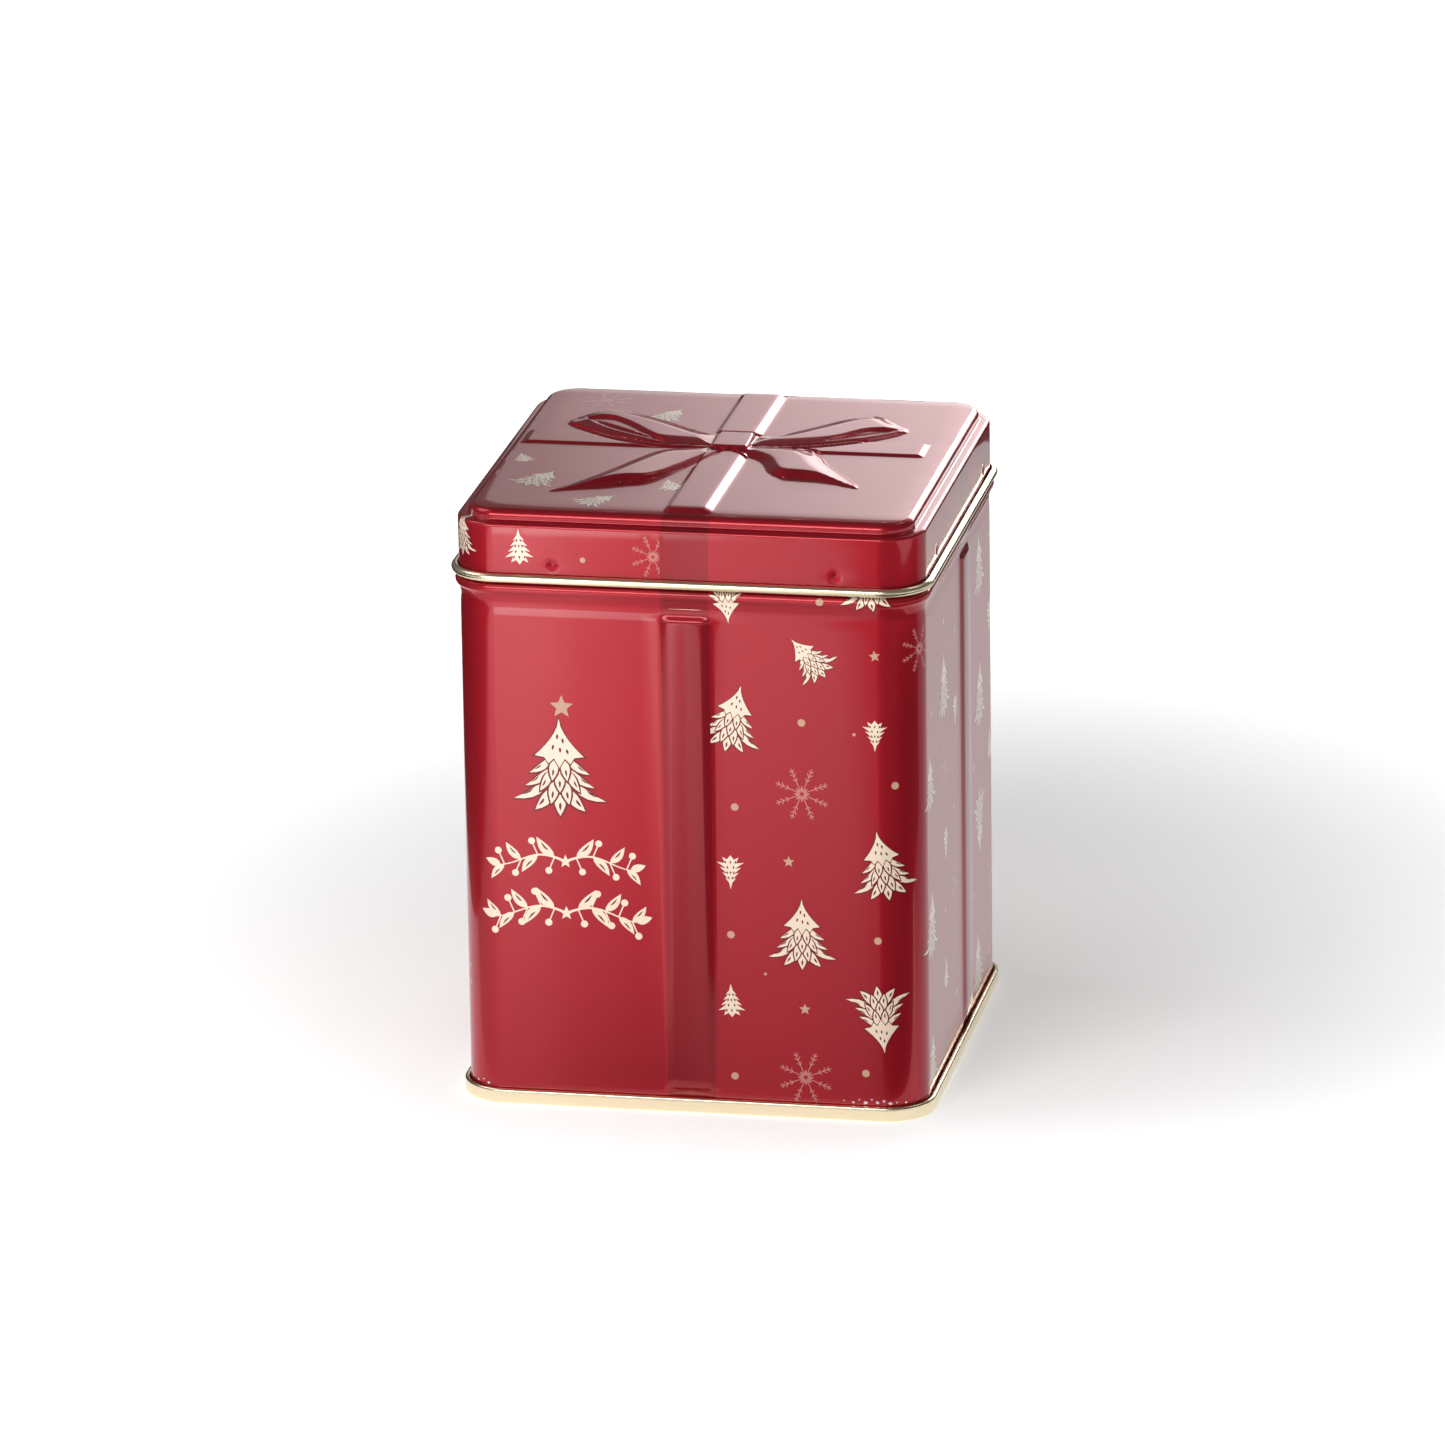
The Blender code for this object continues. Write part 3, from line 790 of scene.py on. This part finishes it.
class Shell:
    """Collects skins and edge strips of one sheet and welds them into a mesh."""

    def __init__(self):
        self.points, self.normals, self.faces, self.inks, self.count = [], [], [], [], 0

    def add(self, points, normals, faces, inks):
        self.points.append(points)
        self.normals.append(normals)
        self.faces += (np.asarray(faces) + self.count).tolist()
        self.inks += list(np.broadcast_to(inks, len(faces)))
        self.count += len(points)

    def add_skin(self, surface, at, faces, inks, flip):
        """The printed face of the sheet."""
        points, normals = surface(at), normals_of(surface, at) * flip
        self.add(points, normals, turned_to(points, normals, faces), inks)

    def add_back(self, surface, columns, rows, flip, outline=None):
        """The unprinted face, one sheet thickness behind, on its own plain grid."""
        if outline is None:
            grid, index = grid_of(columns, rows)
            faces = quads_of(index)
        else:
            grid, faces, _ = cut_sheet(columns, rows, [], outline)
        normals = normals_of(surface, grid) * flip
        points = surface(grid) - SHEET * normals
        self.add(points, -normals, turned_to(points, -normals, faces), GOLD)

    def add_edge(self, surface, columns, row, flip):
        """The cut edge of the sheet along one row."""
        line = np.stack([columns, np.full(len(columns), row)], 1)
        normals = normals_of(surface, line) * flip
        front = surface(line)
        back = front - SHEET * normals
        count = len(columns)
        first = np.arange(count - 1)
        faces = np.stack([first, first + 1, first + 1 + count, first + count], 1)
        self.add(np.concatenate([front, back]), np.concatenate([normals, -normals]), faces, BARE)

    def build(self, name, materials):
        points = np.concatenate(self.points) * MM
        normals = np.concatenate(self.normals)
        mesh = bpy.data.meshes.new(name)
        mesh.from_pydata(points.tolist(), [], self.faces)
        mesh.polygons.foreach_set("material_index", np.array(self.inks, np.int32))
        kept = mesh.attributes.new("outward", "FLOAT_VECTOR", "POINT")
        kept.data.foreach_set("vector", normals.astype(np.float32).ravel())
        welded = bmesh.new()
        welded.from_mesh(mesh)
        bmesh.ops.remove_doubles(welded, verts=welded.verts, dist=2e-6)
        welded.to_mesh(mesh)
        welded.free()
        for material in materials:
            mesh.materials.append(material)
        mesh.polygons.foreach_set("use_smooth", np.ones(len(mesh.polygons), bool))
        normals = np.empty(3 * len(mesh.vertices), np.float32)
        mesh.attributes["outward"].data.foreach_get("vector", normals)
        mesh.normals_split_custom_set_from_vertices(normals.reshape(-1, 3).tolist())
        mesh.attributes.remove(mesh.attributes["outward"])
        item = bpy.data.objects.new(name, mesh)
        bpy.context.scene.collection.objects.link(item)
        return item


# ---- body ----
def corner_zones(steps):
    """Fine grid zones over the rounded corners."""
    starts = [side * QUARTER + 0.5 * FLAT for side in ALL_ROUND]
    return [(start, start + TURN, TURN / steps) for start in starts]


def around_tin(zones):
    """Grid columns from the side seam once around the tin."""
    return breaks(JOIN_U - 4 * QUARTER, JOIN_U, 3.2, zones)


def side_columns(extra=()):
    """Grid columns, fine over the ribbons' flanks, the rounded corners and the side seam."""
    zones = corner_zones(16)
    for side in ALL_ROUND:
        ribbon = side * QUARTER + ribbon_middle(side)
        for flank in (-BODY_RIBBON_HALF, BODY_RIBBON_HALF - BODY_RIBBON_SLOPE):
            zones.append((ribbon + flank - 0.3, ribbon + flank + BODY_RIBBON_SLOPE + 0.3, 0.26))
    zones += [(join - 0.4, join + 0.4, 0.1) for join in (JOIN_U, JOIN_U - 4 * QUARTER)]
    return around_tin(zones + list(extra))


def ribbon_middle(side):
    """Where a face's ribbon sits, across from the face's middle: front 0, right 1, back 2, left 3."""
    middles = np.array([0.0, RIBBON_OFFSET_Y, 0.0, -RIBBON_OFFSET_Y])
    return middles[np.mod(side, 4).astype(int)]


def across_ribbon(u):
    """Distance of each u from the middle of the nearest face's ribbon."""
    side = np.round(u / QUARTER)
    return np.abs(u - side * QUARTER - ribbon_middle(side))


def body_section():
    stop_u = BODY_HALF + STOP_REACH - STOP_RADIUS
    hook_radius = 0.5 * SHEET + SEAM_GAP
    hook_z = 2.0 * SHEET + SEAM_GAP + hook_radius
    return Section([
        arc(NECK_HALF - RIM_RADIUS, RIM_Z, RIM_RADIUS, 230, 0, 24),
        (NECK_HALF, NECK_FOOT_Z),
        arc(stop_u, STOP_Z, STOP_RADIUS, 75, -60, 20),
        (BODY_HALF - GROOVE_DEPTH, GROOVE_Z),
        (BODY_HALF - 0.6 * GROOVE_DEPTH, FACE_TOP_Z),
        (BODY_HALF, FACE_TOP_Z - 2.0),
        arc(BODY_HALF + hook_radius, hook_z, hook_radius, 180, 360, 12),
        (BODY_HALF + 2 * hook_radius, SEAM_HEIGHT - SHEET - 2 * SEAM_GAP),
    ], rounding=0.16)


def body_relief(u, _, z):
    """Height of the embossed ribbons over the faces, and the groove of the side seam."""
    flank = ramp((BODY_RIBBON_HALF - across_ribbon(u)) / BODY_RIBBON_SLOPE, 0.2)
    ends = ramp(RIBBON_TOP_Z - z, 0.2) * ramp((z - RIBBON_BOTTOM_Z) / 0.9)
    join = np.minimum(np.abs(u - JOIN_U), np.abs(u - JOIN_U + 4 * QUARTER))
    groove = JOIN_DEPTH * (1.0 - smooth_step(join / 0.3))
    return RIBBON_RISE * flank * ends - groove


def wall(section, relief=None):
    """The surface that a section sweeps around the tin, raised by relief(way round, way down, height)."""
    def surface(at):
        u, s = at[:, 0], at[:, 1]
        point, normal = plan(u)
        z = section.height(s)
        out = section.half(s) - BODY_HALF
        if relief:
            out = out + relief(u, s, z)
        return np.concatenate([point + normal * out[:, None], z[:, None]], 1)

    return surface


def on_rows(parts, s_at):
    """Print parts moved from (way round, height) to (way round, way down the section)."""
    return [(ink, np.stack([points[:, 0], s_at(points[:, 1])], 1)) for ink, points in parts]


def build_body(materials):
    section = body_section()
    surface = wall(section, body_relief)
    mouth = section.way[np.argmax(section.path[:, 1])]
    foot = section.way[np.argmin(section.path[:, 1])]

    def s_at(z):
        return section.way_at(z, mouth, foot)

    top_end, bottom_end = s_at(RIBBON_TOP_Z), s_at(RIBBON_BOTTOM_Z)
    end_zones = [(top_end - 0.2, top_end + 1.1, 0.16), (bottom_end - 0.9, bottom_end, 0.18)]
    rows = section.rows(3.2, zones=end_zones)
    back_rows = section.rows(4.0, 22.0, [(top_end, top_end + 1.3, 0.4), (bottom_end - 0.9, bottom_end, 0.45)])
    columns = side_columns()
    prints = on_rows(face_print(), s_at)
    prints += ribbon_print(s_at(NECK_FOOT_Z - 0.3), s_at(RIBBON_BOTTOM_Z - 3.0))
    prints += on_rows(chip_print(), s_at)
    points, triangles, inks = cut_sheet(columns, rows, prints)

    shell = Shell()
    shell.add_skin(surface, points, triangles, inks, 1.0)
    shell.add_back(surface, columns, back_rows, 1.0)
    shell.add_edge(surface, columns, rows[0], 1.0)
    shell.add_edge(surface, columns, rows[-1], 1.0)
    item = shell.build("body_wall_sheet", materials)
    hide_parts("body_wall")
    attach(item, "tin")


# ---- lid ----
def lid_section():
    curl = WIRE_RADIUS - SHEET - 0.002
    return Section([
        arc(PANEL_HALF - NOSE_RADIUS, TOP_Z - NOSE_RADIUS, NOSE_RADIUS, 90 - PANEL_EDGE_ANGLE, 0, 20),
        arc(PANEL_HALF + CREASE_RADIUS, LEDGE_Z + CREASE_RADIUS, CREASE_RADIUS, 180, 270, 12),
        arc(SKIRT_HALF - SHOULDER_RADIUS, LEDGE_Z - SHOULDER_RADIUS, SHOULDER_RADIUS, 90, 0, 16),
        arc(SKIRT_HALF + curl, WIRE_Z, curl, 180, 465, 40),
    ], rounding=0.08)


# Outlines of the bow on the lid panel, (x, y); smooth curves are drawn through them
LEFT_LOOP = [
    (-3.0, 3.4), (-3.4, 10.4), (-8.4, 14.4), (-15.3, 19.8), (-22.3, 24.4), (-27.5, 25.8), (-32.0, 22.7),
    (-34.6, 16.5), (-30.7, 12.2), (-23.0, 6.4), (-16.0, 3.7), (-9.0, 3.1),
]
RIGHT_LOOP = [
    (3.0, 3.6), (13.8, 5.2), (21.4, 8.7), (28.2, 13.8), (32.2, 19.3), (28.5, 25.4), (25.6, 28.2),
    (22.8, 28.2), (18.4, 25.4), (13.0, 19.0), (7.8, 13.3), (3.4, 10.4),
]
LEFT_TAIL = [
    (-2.8, 4.6), (-8.0, 2.2), (-14.0, -1.5), (-20.0, -14.0), (-25.0, -23.6), (-28.7, -30.4), (-16.8, -22.6),
    (-10.8, -19.8), (-6.5, -11.5), (-1.8, 0.2),
]
RIGHT_TAIL = [
    (2.2, 0.2), (7.5, -5.3), (11.6, -14.2), (19.2, -16.0), (29.3, -20.4), (21.4, -6.8), (18.3, -0.4),
    (13.4, 3.8), (2.8, 4.8),
]
KNOT = [(-3.4, 0.0), (3.8, 0.0), (4.4, 1.2), (4.1, 9.8), (3.2, 10.9), (-3.0, 10.9), (-3.9, 9.8), (-4.1, 1.2)]
LEFT_OPENING = [
    (-31.4, 18.6), (-29.8, 15.5), (-25.2, 10.7), (-18.3, 6.4), (-12.4, 4.2), (-17.0, 9.2), (-22.3, 15.6),
    (-27.0, 19.2),
]
LEFT_INNER = [(-30.6, 17.6), (-25.6, 12.6), (-19.6, 8.2), (-14.4, 5.4), (-18.8, 9.4), (-24.4, 14.4)]
RIGHT_OPENING = [(30.4, 18.9), (24.6, 17.4), (20.0, 12.0), (17.4, 8.6), (22.5, 11.2), (27.0, 14.6)]
# The bow's folds: outline, hand, height by the knot, rise and its length, fall and its start and length,
# width of the front flank and share of the height that its edge keeps
FOLDS = [
    (LEFT_TAIL, -1.0, 0.80, (0.60, 13.0), (0.70, 13.0, 13.0), 1.0, 1.0),
    (RIGHT_TAIL, 1.0, 0.95, (0.35, 9.0), (0.60, 12.0, 14.0), 2.0, 1.0),
    (LEFT_LOOP, -1.0, BOW_RISE, (0.30, 16.0), (0.25, 20.0, 10.0), 0.7, 0.5),
    (RIGHT_LOOP, 1.0, BOW_RISE, (0.10, 12.0), (0.25, 18.0, 10.0), 0.7, 0.5),
]
# What is sunk into the loops, and the fold that shows inside the left one
OPENINGS = [(LEFT_OPENING, -0.62), (LEFT_INNER, 0.35), (RIGHT_OPENING, -0.50)]


def smooth_outline(corners, steps=5):
    """A closed smooth curve through the corners."""
    before, start, end, after = (np.roll(np.asarray(corners, float), -k, 0)[:, None] for k in (-1, 0, 1, 2))
    t = np.linspace(0.0, 1.0, steps, endpoint=False)[None, :, None]
    slope_in, slope_out = 0.5 * (end - before), 0.5 * (after - start)
    change = end - start
    curve = start + t * slope_in + t ** 2 * (3 * change - 2 * slope_in - slope_out)
    curve = curve + t ** 3 * (slope_in + slope_out - 2 * change)
    return curve.reshape(-1, 2)


def fold_depth(points, corners):
    """How far points are inside an outline, negative outside, from its front and from its back edges."""
    outline = smooth_outline(corners)
    if signed_area(outline) < 0.0:
        outline = outline[::-1]
    from_front, from_back = np.full(len(points), -50.0), np.full(len(points), -50.0)
    near = ((points > outline.min(0) - 1.5) & (points < outline.max(0) + 1.5)).all(1)
    points = points[near]
    front, back = np.full(len(points), 50.0), np.full(len(points), 50.0)
    within = np.zeros(len(points), bool)
    for start, end in zip(outline, np.roll(outline, -1, 0)):
        along = end - start
        t = np.clip(((points - start) @ along) / (along @ along), 0.0, 1.0)
        away = np.linalg.norm(points - start - t[:, None] * along, axis=1)
        if along[0] > 0.0:
            front = np.minimum(front, away)
        else:
            back = np.minimum(back, away)
        if start[1] != end[1]:
            crosses = (start[1] > points[:, 1]) != (end[1] > points[:, 1])
            at = start[0] + (points[:, 1] - start[1]) / (end[1] - start[1]) * along[0]
            within ^= crosses & (points[:, 0] < at)
    outside = -np.minimum(front, back)
    from_front[near] = np.where(within, front, outside)
    from_back[near] = np.where(within, back, outside)
    return from_front, from_back


def panel_depth(points):
    """How far points are inside the edge of the lid's flat panel."""
    half = PANEL_HALF - NOSE_RADIUS + NOSE_RADIUS * math.sin(math.radians(PANEL_EDGE_ANGLE))
    radius = CORNER_RADIUS + half - BODY_HALF
    past = np.abs(points) - (half - radius)
    return radius - np.linalg.norm(np.maximum(past, 0.0), axis=1) - np.minimum(past.max(1), 0.0)


def raised(points, corners):
    """1 inside an outline and 0 outside, with a narrow flank."""
    return ramp(np.minimum(*fold_depth(points, corners)) / 0.9)


def cross_relief(x, y):
    """Height of the ribbon cross, and depth of the groove behind its crosswise ribbon."""
    ends_y = ramp((RIBBON_LID_END - np.abs(y)) / 1.1)
    ends_x = ramp((np.where(x < 0, CROSSWISE_LEFT_END, CROSSWISE_RIGHT_END) - np.abs(x)) / 1.1)
    lengthways = ramp((RIBBON_HALF + x) / LID_SLOPE) * ramp((RIBBON_HALF - x) / LID_RIGHT_SLOPE) * ends_y
    crosswise = ramp((RIBBON_HALF - np.abs(y - RIBBON_OFFSET_Y)) / LID_SLOPE) * ends_x
    behind = np.clip((y - RIBBON_OFFSET_Y - RIBBON_HALF + 0.2) / 2.2, 0.0, 1.0)
    groove = BEHIND_DEPTH * np.sin(math.pi * behind) ** 2 * ends_x
    return np.maximum(LENGTHWAYS_RISE * lengthways, CROSSWISE_RISE * crosswise), groove


def lid_relief(points):
    """Height of the crowned panel, the ribbon cross and the bow over the panel's edge."""
    height, groove = cross_relief(points[:, 0], points[:, 1])
    for outline, hand, level, (rise, rise_length), (fall, fall_start, fall_length), flank, edge in FOLDS:
        out = hand * points[:, 0] - 4.0
        level = level + rise * smooth_step(out / rise_length)
        level = level - fall * smooth_step((out - fall_start) / fall_length)
        from_front, from_back = fold_depth(points, outline)
        depth = np.minimum(from_front, from_back)
        front = ramp(from_front / flank) * (edge + (1.0 - edge) * smooth_step(from_front / 4.0))
        back = ramp(from_back / 0.75) * (0.35 + 0.65 * smooth_step(from_back / 5.0))
        around = np.sin(math.pi * np.clip(-depth / BOW_GROOVE_WIDTH, 0.0, 1.0)) ** 2
        groove = np.where(depth > 0.0, 0.0, np.maximum(groove, BOW_GROOVE_DEPTH * around))
        height = np.maximum(height, level * np.minimum(front, back))
    height = height - groove
    for outline, change in OPENINGS:
        height = height + change * raised(points, outline)
    height = np.maximum(height, KNOT_RISE * raised(points, KNOT))
    return height + PANEL_CROWN * (1.0 - (1.0 - np.clip(panel_depth(points) / 4.0, 0.0, 1.0)) ** 2)


def dimples(u, z):
    """Depth of the pressed dimples in the skirt."""
    depth = 0.0
    for u_middle in dimple_middles():
        away = np.hypot(u - u_middle, z - DIMPLE_Z)
        depth = depth + DIMPLE_DEPTH * np.exp(-(away / DIMPLE_RADIUS) ** 2)
    return depth


def dimple_middles():
    return [side * QUARTER + across for side in ALL_ROUND for across in DIMPLE_ACROSS]


# Fine grid zones (start, end, step) of the lid panel: over the bow, then over the ribbons' flanks
PANEL_FINE_X = [(-35.5, 33.0, 0.41), (-4.85, -3.55, 0.18), (2.65, 4.85, 0.2)]
PANEL_FINE_Y = [(-31.5, 28.8, 0.41), (1.6, 2.9, 0.18), (10.0, 11.3, 0.18)]
# Over the ribbons' ends
PANEL_ENDS = [(-41.1, -39.6, 0.2), (36.7, 41.1, 0.2)]
# The same for its unprinted inner face, with fewer rows
PANEL_COARSE_X = [(-35.0, 33.0, 0.9), (-4.85, -3.55, 0.4), (2.85, 4.85, 0.4)]
PANEL_COARSE_Y = [(-31.0, 28.6, 0.9), (1.6, 2.9, 0.4), (10.0, 11.3, 0.4)]


def panel_outline(columns, half):
    """The rounded square where a flat panel meets the wall around it, with the wall's own columns."""
    points, normals = plan(columns[:-1])
    return points + normals * (half - BODY_HALF)


def build_lid(materials):
    section = lid_section()
    panel_half, panel_z = section.path[0]
    foot = section.way[np.argmin(section.path[:, 1])]

    def s_at(z):
        return section.way_at(z, 0.0, foot)

    wire_start, dimple_s = float(s_at(WIRE_Z + 0.4)), float(s_at(DIMPLE_Z))
    surface = wall(section, lambda u, s, z: -np.where(s < wire_start, dimples(u, z), 0.0))
    columns = side_columns([(u - 1.8, u + 1.8, 0.4) for u in dimple_middles()])
    rows = section.rows(2.4, zones=[(dimple_s - 1.8, dimple_s + 1.8, 0.4)])
    back_rows = section.rows(3.0, 20.0, [(dimple_s - 1.8, dimple_s + 1.8, 0.6)])
    prints = on_rows(prints_of(SKIRT_PRINT), s_at) + ribbon_print(0.0, foot - 0.5)
    points, triangles, inks = cut_sheet(columns, rows, prints)
    shell = Shell()
    shell.add_skin(surface, points, triangles, inks, 1.0)
    shell.add_back(surface, columns, back_rows, 1.0)
    shell.add_edge(surface, columns, rows[-1], 1.0)

    def panel(at):
        return np.concatenate([at, panel_z + lid_relief(at)[:, None]], 1)

    def panel_lines(zones):
        return breaks(-panel_half, panel_half, 1.6, zones)

    outline = panel_outline(columns, panel_half)
    lines_x, lines_y = panel_lines(PANEL_FINE_X + PANEL_ENDS), panel_lines(PANEL_FINE_Y + PANEL_ENDS)
    points, triangles, inks = cut_sheet(lines_x, lines_y, prints_of(PANEL_PRINT), outline)
    shell.add_skin(panel, points, triangles, inks, -1.0)
    shell.add_back(panel, panel_lines(PANEL_COARSE_X), panel_lines(PANEL_COARSE_Y), -1.0, outline)
    item = shell.build("lid_sheet", materials)
    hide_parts("lid")
    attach(item, "lid")


# ---- base ----
def base_section():
    chuck_u = BODY_HALF - 2 * SHEET - SEAM_GAP
    cover_hook_u = BODY_HALF + SEAM_GAP
    return Section([
        arc(chuck_u - 0.6, PANEL_Z - 0.6, 0.6, 90, 0, 10),
        arc(chuck_u + 0.3, 0.3, 0.3, 180, 270, 8),
        arc(SEAM_HALF - 0.45, 0.45, 0.45, 270, 360, 10),
        arc(SEAM_HALF - 0.45, SEAM_HEIGHT - 0.45, 0.45, 0, 90, 10),
        arc(cover_hook_u + 0.35, SEAM_HEIGHT - 0.35, 0.35, 90, 180, 8),
        (cover_hook_u, 4 * SHEET),
    ], rounding=0.06)


def build_base(materials):
    section = base_section()
    surface = wall(section)
    panel_half = BODY_HALF - 2 * SHEET - SEAM_GAP - 0.6
    columns = around_tin(corner_zones(20))
    rows = section.rows(1.2)
    grid, index = grid_of(columns, rows)
    shell = Shell()
    shell.add_skin(surface, grid, quads_of(index), GOLD, -1.0)
    shell.add_back(surface, columns, rows, -1.0)
    shell.add_edge(surface, columns, rows[-1], -1.0)

    def panel(at):
        step = BASE_STEP_RISE * smooth_step((BASE_STEP_HALF - np.abs(at).max(1)) / BASE_STEP_SLOPE)
        return np.concatenate([at, PANEL_Z + step[:, None]], 1)

    outline = panel_outline(columns, panel_half)
    step_inner = BASE_STEP_HALF - BASE_STEP_SLOPE
    step_zones = [(-BASE_STEP_HALF, -step_inner, 0.2), (step_inner, BASE_STEP_HALF, 0.2)]
    lines = breaks(-panel_half, panel_half, 3.2, step_zones)
    points, triangles, _ = cut_sheet(lines, lines, [], outline)
    shell.add_skin(panel, points, triangles, GOLD, 1.0)
    shell.add_back(panel, lines, lines, 1.0, outline)
    item = shell.build("base_sheet", materials)
    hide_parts("base_panel")
    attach(item, "tin")


def main():
    add_camera()
    add_studio()
    materials = make_materials()
    build_body(materials)
    build_lid(materials)
    build_base(materials)


main()
